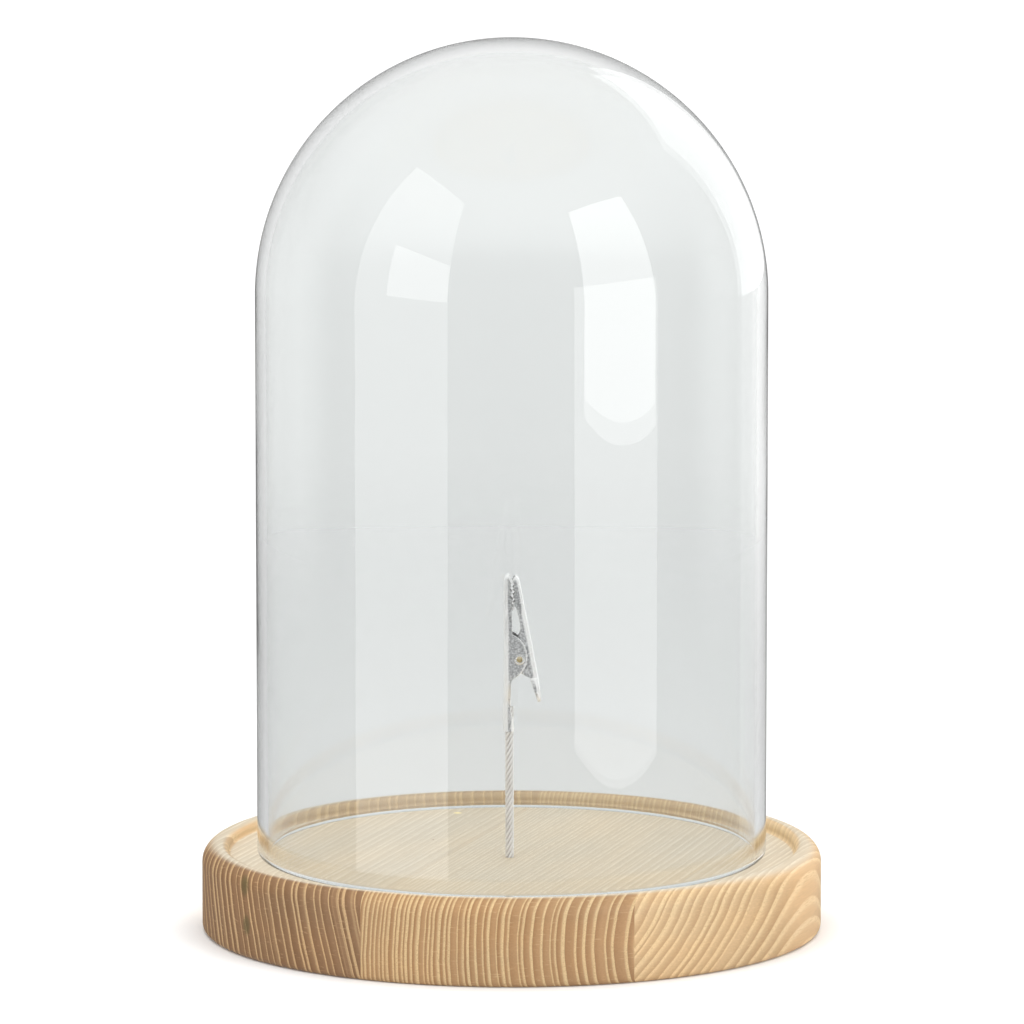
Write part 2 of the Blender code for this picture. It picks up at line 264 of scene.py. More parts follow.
class Finish:
    """A node tree while it is written: of a new material, or of the world."""

    def __init__(self, name, tree=None):
        if tree is None:
            self.material = bpy.data.materials.new(name)
            self.material.use_nodes = True
            tree = self.material.node_tree
            self.shader = tree.nodes["Principled BSDF"]
            self.exit = tree.nodes["Material Output"]
        self.tree = tree

    def feed(self, socket, value):
        if isinstance(value, Signal):
            self.tree.links.new(value.socket, socket)
        elif socket.type == "RGBA" and len(value) == 3:
            socket.default_value = (*value, 1.0)
        else:
            socket.default_value = value

    def node(self, kind, settings=None, sockets=None, output=0):
        """Adds a node: its settings first, then its sockets' values or links."""
        made = self.tree.nodes.new(kind)
        for key, value in (settings or {}).items():
            setattr(made, key, value)
        for key, value in (sockets or {}).items():
            self.feed(made.inputs[key], value)
        return Signal(self, made.outputs[output])

    def surface(self, **values):
        """Sets the Principled shader's sockets, named with _ for a space."""
        for key, value in values.items():
            self.feed(self.shader.inputs[key.replace("_", " ")], value)
        return self.material

    def place(self):
        """Where the shaded point is on the piece at rest: x, y and z in millimetres."""
        metres = self.node("ShaderNodeTexCoord", output="Object")
        scaled = self.node("ShaderNodeVectorMath", {"operation": "SCALE"}, {0: metres, "Scale": 1000.0})
        return [self.node("ShaderNodeSeparateXYZ", sockets={0: scaled}, output=axis) for axis in range(3)]

    def vector(self, x, y, z):
        return self.node("ShaderNodeCombineXYZ", sockets={0: x, 1: y, 2: z})

    def noise(self, place, scale=1.0, detail=2.0, roughness=0.5):
        """Noise at a place that is given as x, y and z."""
        return self.node("ShaderNodeTexNoise", {"noise_dimensions": "3D"},
                         {"Vector": self.vector(*place), "Scale": scale, "Detail": detail,
                          "Roughness": roughness})

    def wander(self, value, seed=0.0, detail=1.0):
        """Noise along one value, from -1 to 1."""
        found = self.node("ShaderNodeTexNoise", {"noise_dimensions": "1D"},
                          {"W": value + seed, "Scale": 1.0, "Detail": detail})
        return found * 2.0 - 1.0

    def chance(self, value, seed=0.0):
        """A random number for each whole value."""
        whole = self.maths("FLOOR", value)
        return self.node("ShaderNodeTexWhiteNoise", {"noise_dimensions": "1D"}, {"W": whole + seed})

    def step(self, value, low, high, start=0.0, end=1.0):
        """From start to end as value goes from low to high, with smooth ends."""
        return self.node("ShaderNodeMapRange", {"interpolation_type": "SMOOTHSTEP"},
                         {"Value": value, "From Min": low, "From Max": high, "To Min": start,
                          "To Max": end})

    def mix(self, share, first, second, blend="MIX"):
        """A mix of two colours."""
        return self.node("ShaderNodeMix", {"data_type": "RGBA", "blend_type": blend},
                         {0: share, 6: first, 7: second}, 2)

    def facing(self, direction):
        """The cosine between the surface's normal and a fixed direction."""
        normal = self.node("ShaderNodeNewGeometry", output="Normal")
        return self.node("ShaderNodeVectorMath", {"operation": "DOT_PRODUCT"}, {0: normal, 1: direction},
                         "Value")

    def away(self, across, along):
        """The length of a flat vector."""
        return self.maths("SQRT", across * across + along * along)

    def maths(self, operation, *values):
        return self.node("ShaderNodeMath", {"operation": operation}, dict(enumerate(values)))

    def relief(self, height, strength, distance):
        """Bump from a height of 0 to 1, with the depth of its 1 in metres."""
        return self.node("ShaderNodeBump", sockets={"Strength": strength, "Distance": distance,
                                                    "Height": height})

    def light_path(self, *rays):
        """1 for rays of any of these kinds."""
        shares = [self.node("ShaderNodeLightPath", output=ray) for ray in rays]
        total = shares[0]
        for share in shares[1:]:
            total = self.maths("MAXIMUM", total, share)
        return total

    def let_through(self, share, colour):
        """Mixes the shader with clear film of a colour, by a share."""
        film = self.node("ShaderNodeBsdfTransparent", sockets={"Color": colour})
        solid = Signal(self, self.shader.outputs[0])
        mixed = self.node("ShaderNodeMixShader", sockets={0: share, 1: solid, 2: film})
        self.feed(self.exit.inputs["Surface"], mixed)


LEFT_SEED, MIDDLE_SEED, RIGHT_SEED = 3.1, 17.4, 41.7


def spot(finish, place, centre, size):
    """A soft blob, from 1 in its middle to 0, for marks in the wood."""
    total = 0.0
    for coordinate, middle, reach in zip(place, centre, size):
        far = (coordinate - middle) / reach
        total = total + far * far
    return finish.step(total, 0.0, 1.0, 1.0, 0.0)


def wood_finish(name, board, base, seed):
    """Ash: straight boards whose rings are cylinders round the tree's heart, along the grain."""
    finish = Finish(name)
    x, y, z = finish.place()
    cosine, sine = math.cos(base.slant), math.sin(base.slant)
    across = x * cosine - y * sine
    along = x * sine + y * cosine

    sway = finish.noise((across * 0.03, along * 0.006, z * 0.02 + seed), detail=1.0)
    waver = finish.noise((across * 0.25, along * 0.02, z * 0.14 + seed), detail=1.0)
    jitter = finish.noise((across * 2.5, along * 0.3, z * 2.5), detail=1.0)
    radius = finish.away(across - board.pith_across, z - board.pith_height)
    radius = radius + sway * 3.0 + waver * 0.45 + jitter * 0.06

    def turns(reach):
        """How many rings lie within a radius."""
        even = (reach / 50.0) ** (1.0 + board.crowding) * (50.0 / ((1.0 + board.crowding) * board.ring))
        return even + finish.wander(reach * 0.3, seed) * board.swing

    phase = turns(radius)
    pace = (turns(radius + 0.2) - phase) * 5.0
    ring = finish.maths("FRACT", phase)
    begun = ring / pace
    luck = finish.chance(phase, seed)

    end_grain = finish.step(abs(finish.facing((sine, cosine, 0.0))), 0.04, 0.32)
    # level is 1 on up-facing faces, which take the paler floor colours: partly the floor's own grain, partly
    # painted light from above.
    level = finish.step(finish.facing((0.0, 0.0, 1.0)), 0.55, 0.99)

    width = board.line_width * (0.7 + luck * 0.6)
    line = finish.step(begun, 0.0, 0.10) * finish.step(begun / width, 0.6, 1.5, 1.0, 0.0)
    late = finish.step(ring, 0.30, 1.0)

    pores = finish.noise((across * 5.0, along * 0.35, z * 5.0), detail=1.0)
    pore = finish.step(pores, 0.52, 0.68) * line
    rays = finish.noise((radius * 0.35, along * 0.5, z * 3.2), detail=2.0)
    ray = finish.step(rays, 0.60, 0.76)
    fibre = finish.noise((across * 3.0, along * 0.08, z * 3.0), detail=3.0)
    grit = finish.noise((radius * 1.2, along * 0.4, z * 6.0), detail=2.0) - 0.5
    cloud = finish.noise((across * 0.06, along * 0.02, z * 0.1 + seed), detail=2.0)

    # Painted light: up-facing faces are given the paler floor colours.
    side_band = finish.mix(level, base.side_band, base.floor_band_with_painted_light)
    side_line = finish.mix(level, base.side_line, base.floor_line_with_painted_light)
    band = finish.mix(end_grain, side_band, board.band)
    line_colour = finish.mix(end_grain, side_line, board.line)
    dark = finish.mix(1.0, band, (0.72, 0.64, 0.56), "MULTIPLY")
    wood = finish.mix(late * (0.20 + end_grain * (0.24 + luck * 0.40)), band, dark)
    wood = finish.mix(ray * end_grain * 0.34, wood, line_colour)
    wood = finish.mix(line * (0.60 + end_grain * (0.15 + luck * 0.25)), wood, line_colour)
    wood = finish.mix(pore * 0.4, wood, dark)
    shade = 0.82 + fibre * 0.26 + rays * 0.06 + grit * end_grain * 0.10
    toned = finish.mix(1.0, wood, finish.vector(shade, shade, shade), "MULTIPLY")
    warmth = finish.mix(cloud, (0.91, 0.94, 0.98), (1.09, 1.02, 0.93))
    wood = finish.mix(1.0, toned, warmth, "MULTIPLY")
    inside = base.recess_radius / MM
    recess = finish.step(finish.away(x, y), inside + 0.3, inside + 2.2, 1.0, 0.0)
    wood = finish.mix(recess * end_grain * 0.5, wood, base.side_line)
    if seed == LEFT_SEED:
        knots = (spot(finish, (x, y, z), (-61.9, -39.0, 17.4), (1.3, 5.0, 3.6))
                 + spot(finish, (x, y, z), (-61.5, -40.0, 8.0), (1.2, 5.0, 3.0)))
        wood = finish.mix(knots * (0.35 + pores * 0.7), wood, screen(92, 84, 48))
        fleck = spot(finish, (x, y, z), (-13.2, 53.0, 17.5), (1.3, 1.5, 1.0))
        wood = finish.mix(fleck, wood, screen(246, 230, 172))
        dot = spot(finish, (x, y, z), (-18.8, 18.0, 17.5), (0.35, 0.9, 1.0))
        wood = finish.mix(dot * 0.8, wood, screen(150, 118, 84))

    height = fibre * 0.35 - line * 0.4 - pore * 0.5
    return finish.surface(
        Base_Color=wood,
        Roughness=0.50 + line * 0.12 + fibre * 0.10,
        Normal=finish.relief(height, 0.16, 0.00006),
        Specular_IOR_Level=0.35,
    )


def glass_finish(dome):
    """Clear glass with faint waves. Light reaches what is under it straight through."""
    finish = Finish("blown_glass")
    x, y, z = finish.place()
    waves = finish.noise((x * 0.03, y * 0.03, z * 0.012), detail=2.0)
    foot = finish.step(z, DOME_FOOT / MM + 0.2, DOME_FOOT / MM + 1.6, 1.0, 0.0)
    finish.surface(
        Base_Color=finish.mix(foot, tuple(dome.tint), tuple(dome.foot)),
        Roughness=0.0,
        IOR=1.5,
        Transmission_Weight=1.0,
        Normal=finish.relief(waves, dome.ripple, 0.0015),
    )
    finish.let_through(finish.light_path("Is Shadow Ray", "Is Diffuse Ray"), tuple(dome.shade))
    return finish.material


def wire_finish(name, tone, depth):
    """Drawn steel wire, duller and darker inwards from `depth` metres off the rope's middle: painted shade
    in the grooves between the strands.
    """
    finish = Finish(name)
    x, y, z = finish.place()
    out = finish.away(x - STEM.x / MM, y - STEM.y / MM)
    # crest is 1 on the strands' outer crests and 0 in the grooves, where the colour gets painted shade.
    crest = finish.step(out, 0.62 * depth / MM, 0.98 * depth / MM)
    drawn = finish.noise((x * 9.0, y * 9.0, z * 1.4), detail=3.0)
    smut = finish.noise((x * 0.8, y * 0.8, z * 0.25), detail=2.0)
    # Painted shade: the grooves between the strands are darker than the crests.
    painted_groove_shade = finish.mix(1.0, tuple(tone), (0.80, 0.78, 0.77), "MULTIPLY")
    metal = finish.mix(crest, painted_groove_shade, tuple(tone))
    metal = finish.mix(finish.step(smut, 0.5, 0.8) * 0.35, metal, (0.70, 0.68, 0.66))
    return finish.surface(
        Base_Color=metal,
        Metallic=0.3,
        Roughness=0.34 + drawn * 0.16 + (1.0 - crest) * 0.15,
        Normal=finish.relief(drawn, 0.3, 0.00002),
    )


def plate_finish(name, clip):
    """Nickel plating: bright on the folds; satin and finely mottled on the flat ears, which are painted
    darker grey than the folds as painted shade for the dim room they mirror.
    """
    finish = Finish(name)
    x, y, z = finish.place()
    flat = finish.step(abs(finish.facing((0.0, 1.0, 0.0))), 0.94, 0.995)
    speckle = finish.noise((x, y, z), 2.2, 2.0, 0.6)
    bloom = finish.noise((x, y, z), 0.7, 2.0)
    scratch = finish.noise((x * 1.2 + z * 0.5, y * 2.0, z * 9.0 - x * 3.0), detail=2.0)
    # Painted shade: the flat ears are darker grey than the folds of the same plating, with a mottle.
    painted_shade_mottle = finish.mix(finish.step(speckle, 0.34, 0.68), (0.40, 0.40, 0.415), (0.86, 0.86, 0.87))
    metal = finish.mix(flat, tuple(clip.plate), painted_shade_mottle)
    metal = finish.mix(finish.step(bloom, 0.52, 0.75) * 0.15, metal, (0.70, 0.66, 0.62))
    return finish.surface(
        Base_Color=metal,
        Metallic=0.35 + flat * 0.6,
        Roughness=0.22 + flat * (speckle * 0.12 + 0.06) + finish.step(scratch, 0.55, 0.75) * 0.08,
        Normal=finish.relief(scratch, 0.05, 0.00002),
    )


def rivet_finish(clip):
    """Plated outside, with bare brass in the bore."""
    finish = Finish("rivet_brass")
    x, y, z = finish.place()
    out = finish.away(x - PIVOT.x / MM, z - PIVOT.z / MM)
    hole = clip.rivet_bore / MM
    bore = finish.step(out, hole * 1.02, hole * 1.5, 1.0, 0.0)
    wear = finish.noise((x, y, z), 2.5, 3.0)
    plate = finish.mix(finish.step(wear, 0.45, 0.7) * 0.5, tuple(clip.plate), (0.80, 0.74, 0.58))
    return finish.surface(
        Base_Color=finish.mix(bore, plate, tuple(clip.brass)),
        Metallic=1.0,
        Roughness=0.20 + wear * 0.15 + bore * 0.12,
        Normal=finish.relief(wear, 0.3, 0.00002),
    )


# ---------------------------------------------------------------- shapes

def add_piece(name, mesh, finish, sharp=40):
    """A smooth-shaded object for a finished mesh."""
    mesh.shade_smooth()
    mesh.set_sharp_from_angle(angle=math.radians(sharp))
    mesh.materials.clear()
    mesh.materials.append(finish)
    obj = bpy.data.objects.new(name, mesh)
    bpy.context.scene.collection.objects.link(obj)
    return obj


def stand_in(piece, body, slot, *nodes):
    """Says what a finished piece rides on and replaces; its slot is not used."""
    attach(piece, body)
    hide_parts(*nodes)


def mesh_of(name, bm):
    bmesh.ops.recalc_face_normals(bm, faces=bm.faces)
    mesh = bpy.data.meshes.new(name)
    bm.to_mesh(mesh)
    bm.free()
    return mesh


def arc(centre, radius, start, end, steps):
    """Points of an arc in the profile's plane, with both ends, angles in degrees."""
    points = []
    for step in range(steps + 1):
        turn = math.radians(start + (end - start) * step / steps)
        points.append((centre[0] + radius * math.cos(turn), centre[1] + radius * math.sin(turn)))
    return points


def turned(profile, segments, closed=False):
    """A solid of revolution about Z, from (radius, height) points."""
    bm = bmesh.new()
    verts = [bm.verts.new((radius, 0, height)) for radius, height in profile]
    pairs = list(zip(verts, verts[1:]))
    if closed:
        pairs.append((verts[-1], verts[0]))
    edges = [bm.edges.new(pair) for pair in pairs]
    bmesh.ops.spin(bm, geom=verts + edges, cent=(0, 0, 0), axis=(0, 0, 1), angle=math.tau,
                   steps=segments, use_merge=True)
    bmesh.ops.remove_doubles(bm, verts=bm.verts, dist=1e-7)
    return bm


def cut_away(bm, point, normal):
    """Cuts off what lies beyond a plane and closes the cut."""
    geom = bm.verts[:] + bm.edges[:] + bm.faces[:]
    bmesh.ops.bisect_plane(bm, geom=geom, dist=1e-8, plane_co=point, plane_no=normal, clear_outer=True)
    rim = [edge for edge in bm.edges if edge.is_boundary]
    bmesh.ops.holes_fill(bm, edges=rim, sides=0)


def drilled(mesh, radius, depth, centre, along_y=False):
    """A mesh with a round hole through `depth` metres about a centre, along Z or Y."""
    bm = bmesh.new()
    turn = Matrix.Rotation(math.pi / 2, 4, "X") if along_y else Matrix()
    bmesh.ops.create_cone(bm, cap_ends=True, segments=64, radius1=radius, radius2=radius, depth=depth,
                          matrix=Matrix.Translation(centre) @ turn)
    drill = bpy.data.objects.new("drill", mesh_of("drill", bm))
    work = bpy.data.objects.new("work", mesh)
    for obj in (drill, work):
        bpy.context.scene.collection.objects.link(obj)
    cut = work.modifiers.new("cut", "BOOLEAN")
    cut.operation = "DIFFERENCE"
    cut.object = drill
    bpy.context.view_layer.update()
    graph = bpy.context.evaluated_depsgraph_get()
    made = bpy.data.meshes.new_from_object(work.evaluated_get(graph), depsgraph=graph)
    bpy.data.objects.remove(drill)
    bpy.data.objects.remove(work)
    return made


def tube(points, radius, sides):
    """Vertices and faces of a round wire along points, with closed ends."""
    verts, faces = [], []
    side = None
    for index, point in enumerate(points):
        ahead = points[min(index + 1, len(points) - 1)] - points[max(index - 1, 0)]
        ahead.normalize()
        guess = side if side is not None else ahead.orthogonal()
        side = (guess - ahead * guess.dot(ahead)).normalized()
        other = ahead.cross(side)
        for step in range(sides):
            turn = math.tau * step / sides
            verts.append(point + (side * math.cos(turn) + other * math.sin(turn)) * radius)
    for row in range(len(points) - 1):
        for step in range(sides):
            after = (step + 1) % sides
            faces.append((row * sides + step, row * sides + after, (row + 1) * sides + after,
                          (row + 1) * sides + step))
    last = (len(points) - 1) * sides
    faces.append(tuple(reversed(range(sides))))
    faces.append(tuple(range(last, last + sides)))
    return verts, faces


def mesh_from_parts(name, parts):
    """One mesh from (vertices, faces) parts."""
    verts, faces = [], []
    for part_verts, part_faces in parts:
        start = len(verts)
        verts += part_verts
        faces += [tuple(start + corner for corner in face) for face in part_faces]
    mesh = bpy.data.meshes.new(name)
    mesh.from_pydata([tuple(vert) for vert in verts], [], faces)
    return mesh


def smooth_path(points, steps):
    """Points on a curve through the given points, which may each be a list of vectors or a vector."""
    made = []
    last = len(points) - 1
    for index in range(last):
        before, start = points[max(index - 1, 0)], points[index]
        end, after = points[index + 1], points[min(index + 2, last)]
        for step in range(steps):
            share = step / steps
            made.append(blended(before, start, end, after, share))
    made.append(points[last])
    return made


def blended(before, start, end, after, share):
    """A Catmull-Rom point between start and end, or a list of them for lists of vectors."""
    if isinstance(start, list):
        return [blended(*four, share) for four in zip(before, start, end, after)]
    square, cube = share * share, share ** 3
    return 0.5 * (2 * start + (end - before) * share + (2 * before - 5 * start + 4 * end - after) * square
                  + (3 * start - before - 3 * end + after) * cube)


# ---------------------------------------------------------------- base

def base_profile(base):
    """From the middle of the underside, round the outside, to the middle of the recess."""
    floor = BASE_TOP - base.recess_depth
    crest = base.recess_radius + base.inner_round
    low = base.lower_round
    rings = [BASE_RADIUS * share for share in (0.12, 0.3, 0.5, 0.7)]
    return (
        [(0, 0)] + [(radius, 0) for radius in rings]
        + arc((BASE_RADIUS - low, low), low, -90, 0, 8)
        + arc((BASE_RADIUS - base.outer_round, BASE_TOP - base.outer_round), base.outer_round, 0, 90, 20)
        + arc((crest, BASE_TOP - base.inner_round), base.inner_round, 91, 180, 14)
        + arc((base.recess_radius - base.cove, floor + base.cove), base.cove, 0, -90, 8)
        + [(radius, floor) for radius in reversed(rings)] + [(0, floor)]
    )


class BELLJAR_OT_base(bpy.types.Operator):
    """Build the turned base from its three boards"""

    bl_idname = "bell_jar.base"
    bl_label = "Base"

    def execute(self, context):
        base = context.scene.bell_jar_base
        across = Vector((math.cos(base.slant), -math.sin(base.slant), 0))
        left, right = base.left_joint * MM, base.right_joint * MM
        boards = (
            ("left", None, left, "wood_dark", LEFT_SEED),
            ("middle", left, right, "wood", MIDDLE_SEED),
            ("right", right, None, "wood_yellow", RIGHT_SEED),
        )
        for side, start, end, slot, seed in boards:
            bm = turned(base_profile(base), 360)
            if start is not None:
                cut_away(bm, across * (start + base.glue_line / 2), -across)
            if end is not None:
                cut_away(bm, across * (end - base.glue_line / 2), across)
            mesh = mesh_of(f"board_{side}", bm)
            if side == "middle":
                foot = STEM_LOW.z - 0.3 * MM
                top = BASE_TOP + 1 * MM
                mesh = drilled(mesh, base.hole_radius, top - foot, (STEM.x, STEM.y, (top + foot) / 2))
            settings = getattr(context.scene, f"bell_jar_{side}_board")
            finish = wood_finish(f"ash_{side}", settings, base, seed)
            piece = add_piece(f"board_{side}", mesh, finish)
            stand_in(piece, "base", slot, f"base_board_{side}")
        return {"FINISHED"}


# ---------------------------------------------------------------- dome

class BELLJAR_OT_dome(bpy.types.Operator):
    """Build the blown glass dome"""

    bl_idname = "bell_jar.dome"
    bl_label = "Dome"

    def execute(self, context):
        dome = context.scene.bell_jar_dome
        shoulder = DOME_TOP - DOME_RADIUS
        bore = DOME_RADIUS - dome.wall
        lip = dome.wall / 2
        inner_rise = DOME_TOP - dome.crown - shoulder
        low, high = DOME_FOOT + lip + 0.05 * MM, shoulder - 0.05 * MM
        straight = [low + (high - low) * step / 16 for step in range(17)]
        inside = [(bore * radius, shoulder + inner_rise * rise)
                  for radius, rise in arc((0, 0), 1, 90, 0, 64)]
        profile = (
            arc((DOME_RADIUS - lip, DOME_FOOT + lip), lip, -90, 0, 8)
            + [(DOME_RADIUS, height) for height in straight]
            + arc((0, shoulder), DOME_RADIUS, 0, 90, 64)
            + inside
            + [(bore, height) for height in reversed(straight)]
            + arc((DOME_RADIUS - lip, DOME_FOOT + lip), lip, 180, 262, 8)
        )
        mesh = mesh_of("dome", turned(profile, 256, closed=True))
        piece = add_piece("dome", mesh, glass_finish(dome), 60)
        stand_in(piece, "dome", "glass", "glass_dome")
        return {"FINISHED"}


# ---------------------------------------------------------------- stem

def laid_wires(stem, path, wire):
    """Six wires laid left-handed round the wire that follows a path, as parts of one mesh."""
    parts = [tube(path, wire, 8)]
    orbit = 2 * wire
    for index in range(6):
        laid = []
        for step, point in enumerate(path):
            ahead = (path[min(step + 1, len(path) - 1)] - path[max(step - 1, 0)]).normalized()
            side = Vector((1, 0, 0)).cross(ahead).normalized()
            other = ahead.cross(side)
            turn = -math.tau * (point.z / stem.strand_lay + index / 6)
            laid.append(point + (side * math.cos(turn) + other * math.sin(turn)) * orbit)
        parts.append(tube(laid, wire, 8))
    return parts


class BELLJAR_OT_stem(bpy.types.Operator):
    """Build the wire rope, wire by wire"""

    bl_idname = "bell_jar.stem"
    bl_label = "Stem"

    def execute(self, context):
        stem = context.scene.bell_jar_stem
        foot, top = STEM_LOW.z, STEM_HIGH.z
        steps = round((top - foot) / (0.22 * MM))
        rises = [(top - foot) * step / steps for step in range(steps + 1)]
        finish = wire_finish("bright_rope", stem.steel, stem.orbit + stem.strand_radius)
        core = [STEM + Vector((0, 0, foot + rise)) for rise in rises]
        mesh = mesh_from_parts("rope_core", laid_wires(stem, core, stem.core_radius / 3))
        stand_in(add_piece("rope_core", mesh, finish, 60), "base", "rope_steel", "rope_core_strand")
        for index in range(stem.strands):
            path = []
            for rise in rises:
                turn = math.tau * (rise / stem.rope_lay + index / stem.strands)
                round_core = Vector((math.cos(turn), math.sin(turn), 0)) * stem.orbit
                path.append(STEM + round_core + Vector((0, 0, foot + rise)))
            mesh = mesh_from_parts(f"strand_{index + 1}", laid_wires(stem, path, stem.strand_radius / 3))
            piece = add_piece(f"strand_{index + 1}", mesh, finish, 60)
            stand_in(piece, "base", "rope_steel", f"rope_strand_{index + 1}")
        return {"FINISHED"}


# ---------------------------------------------------------------- clip

def outline(line, clip):
    """A closed outline of the sheet round an open 2-D line, with rounded cut edges."""
    half, ease = clip.sheet / 2, clip.edge_round
    ends = {0: (line[0] - line[1]).normalized(), len(line) - 1: (line[-1] - line[-2]).normalized()}
    eased = [point - ends[index] * ease if index in ends else point for index, point in enumerate(line)]
    left, right = [], []
    for index, point in enumerate(eased):
        tangent = (line[min(index + 1, len(line) - 1)] - line[max(index - 1, 0)]).normalized()
        normal = Vector((-tangent.y, tangent.x))
        left.append(point + normal * half)
        right.append(point - normal * half)
    closed = left + rounded_edge(eased[-1], ends[len(line) - 1], half, ease, 1)
    return closed + right[::-1] + rounded_edge(eased[0], ends[0], half, ease, -1)


def rounded_edge(middle, outward, half, ease, way):
    """The points between the two faces at a cut edge."""
    normal = Vector((-outward.y, outward.x)) * half
    points = []
    for degrees in (30, 60, 90, 120, 150):
        turn = math.radians(degrees)
        points.append(middle + normal * math.cos(turn) + outward * (ease * math.sin(turn)))
    return points


def fold(clip, spine, edge, half_width, corner):
    """A closed section of a U-folded sheet. spine and edge are (x, z) in millimetres from the stem and
    the table: the middle of the back, and the middle of the wings' edges."""
    start = Vector((spine[0], 0, spine[1])) * MM
    along = Vector((edge[0], 0, edge[1])) * MM - start
    depth = along.length
    along.normalize()
    bend = corner * MM
    half = [Vector((0, (half_width - bend) * share)) for share in (0.0, 0.5)]
    for step in range(7):
        turn = math.pi / 2 * step / 6
        half.append(Vector((bend * (1 - math.cos(turn)), half_width - bend + bend * math.sin(turn))))
    for share in (0.25, 0.5, 0.75, 1.0):
        half.append(Vector((bend + (depth - bend) * share, half_width)))
    return sheet_loop(clip, half, start, along)


def folds(clip, rows):
    """Folded sections from rows of millimetres: the spine's x and z, the edge's x and z, half the width and
    the corner."""
    return [fold(clip, row[:2], row[2:4], row[4] * MM, row[5]) for row in rows]


def crimp(clip, height, opening):
    """A closed section of the barrel that is closed round the rope, to `opening` degrees from its back."""
    radius = 1.33 * MM
    half = []
    for step in range(13):
        turn = math.radians(opening * step / 12)
        half.append(Vector((radius * (1 - math.cos(turn)), radius * math.sin(turn))))
    return sheet_loop(clip, half, Vector((-radius, 0, height * MM)), Vector((1, 0, 0)))


def sheet_loop(clip, half, start, along):
    """The whole section in place, from half a centre line of (depth, side) points."""
    line = [Vector((point.x, -point.y)) for point in half[:0:-1]] + half
    return [STEM + start + along * point.x + Vector((0, point.y, 0)) for point in outline(line, clip)]


def lofted(name, loops):
    """A closed mesh through closed sections of as many points each."""
    count = len(loops[0])
    verts = [point for loop in loops for point in loop]
    faces = []
    for row in range(len(loops) - 1):
        for step in range(count):
            after = (step + 1) % count
            faces.append((row * count + step, row * count + after, (row + 1) * count + after,
                          (row + 1) * count + step))
    last = (len(loops) - 1) * count
    faces.append(tuple(range(count)))
    faces.append(tuple(range(last, last + count)))
    bm = bmesh.new()
    made = [bm.verts.new(vert) for vert in verts]
    for face in faces:
        bm.faces.new([made[corner] for corner in face])
    return mesh_of(name, bm)


def fixed_jaw_loops(clip):
    """From the crimped tail up the ears and the teeth to the nose. Places are x and z in millimetres from
    the stem and the table."""
    spine_x = -1.235
    neck = [crimp(clip, height, opening)
            for height, opening in ((47.6, 142), (48.8, 138), (50.6, 128), (51.6, 108), (54.0, 98))]
    neck += folds(clip, ((spine_x, 56.2, 0.33, 56.2, 1.75, 1.2), (spine_x, 58.6, 0.33, 58.6, 2.35, 1.4)))
    ears = [fold(clip, (spine_x, edge[1]), edge, clip.fixed_ear, 1.4)
            for edge in arc((-1.71, 65.63), 5.87, -66.5, 66.5, 38)]
    jaw = clip.jaw_width / MM
    throat = [ears[-1]] + folds(clip, ((spine_x, 73.2, 0.63, 73.2, 2.4, 1.4),
                                       (spine_x, 75.1, 0.55, 75.1, jaw, 1.3),
                                       (spine_x, 75.8, 0.25, 75.8, jaw, 1.2)))
    pitch, depth = clip.tooth_pitch / MM, clip.tooth_depth / MM
    teeth = []
    for tooth in range(clip.teeth):
        tip = (1.15 - 0.22 * tooth, 77.06 + pitch * tooth)
        root = (tip[0] - depth, tip[1] + pitch / 2)
        half = clip.jaw_width - 0.08 * MM * tooth
        teeth.append(fold(clip, (spine_x, tip[1]), tip, half, 1.2))
        teeth.append(fold(clip, (spine_x + 0.04 * tooth, root[1]), root, half, 1.1))
    nose = folds(clip, ((-0.95, 84.15, 0.0, 83.72, 1.75, 0.5),
                        (-0.60, 84.60, 0.12, 83.95, 1.65, 0.5),
                        (-0.10, 84.92, 0.25, 84.20, 1.5, 0.5)))
    return (smooth_path(neck + [ears[0]], 5)[:-1] + ears[:-1] + smooth_path(throat, 4)
            + teeth + smooth_path(nose, 4))


def moving_spine(height):
    """X of the middle of the moving jaw's back: it leans in towards the tip, and less so at the tail."""
    stops = ((56.45, 7.16), (59.96, 6.64), (69.1, 5.02), (84.3, 1.99))
    for (low, low_x), (high, high_x) in zip(stops, stops[1:]):
        if height <= high:
            return low_x + (high_x - low_x) * (height - low) / (high - low)
    return stops[-1][1]


def moving_jaw_loops(clip):
    """From the thumb tail up the inner ears and the teeth to the nose, with places as in fixed_jaw_loops."""
    ears = [fold(clip, (moving_spine(edge[1]), edge[1]), edge, clip.moving_ear, 1.2)
            for edge in arc((6.0, 65.4), 4.93, 255, 180, 22)]
    tail = folds(clip, ((6.98, 54.86, 6.50, 54.92, 1.5, 0.35),
                        (7.18, 55.45, 6.46, 55.35, 2.2, 0.5),
                        (7.14, 56.60, 6.12, 56.45, 2.65, 0.7),
                        (6.90, 58.20, 5.55, 58.00, 2.75, 0.8),
                        (6.66, 59.90, 4.95, 59.80, 2.3, 0.9)))
    tail.append(ears[0])
    edges = ((67.0, 1.12, 2.02), (68.8, 1.45, 2.02), (70.2, 2.0, 2.02), (71.3, 2.42, 2.02),
             (73.0, 2.45, 2.1), (75.0, 2.15, 2.2), (76.1, 1.80, 2.2))
    throat = [ears[-1]] + folds(clip, [(moving_spine(height), height, edge_x, height, half, 1.2)
                                       for height, edge_x, half in edges])
    pitch, depth = clip.tooth_pitch / MM, clip.tooth_depth / MM
    teeth = []
    for tooth in range(clip.teeth):
        root = (1.58 - 0.05 * tooth, 77.15 + pitch * tooth)
        tip = (root[0] - depth, root[1] + pitch / 2)
        half = clip.jaw_width - 0.08 * MM * tooth
        for place in (root, tip):
            teeth.append(fold(clip, (moving_spine(place[1]), place[1]), place, half, 0.75 - 0.05 * tooth))
    nose = folds(clip, ((1.78, 84.20, 0.88, 83.95, 1.75, 0.5), (1.45, 84.62, 0.85, 84.22, 1.6, 0.4)))
    return smooth_path(tail, 5)[:-1] + ears[:-1] + smooth_path(throat, 4) + teeth + smooth_path(nose, 4)


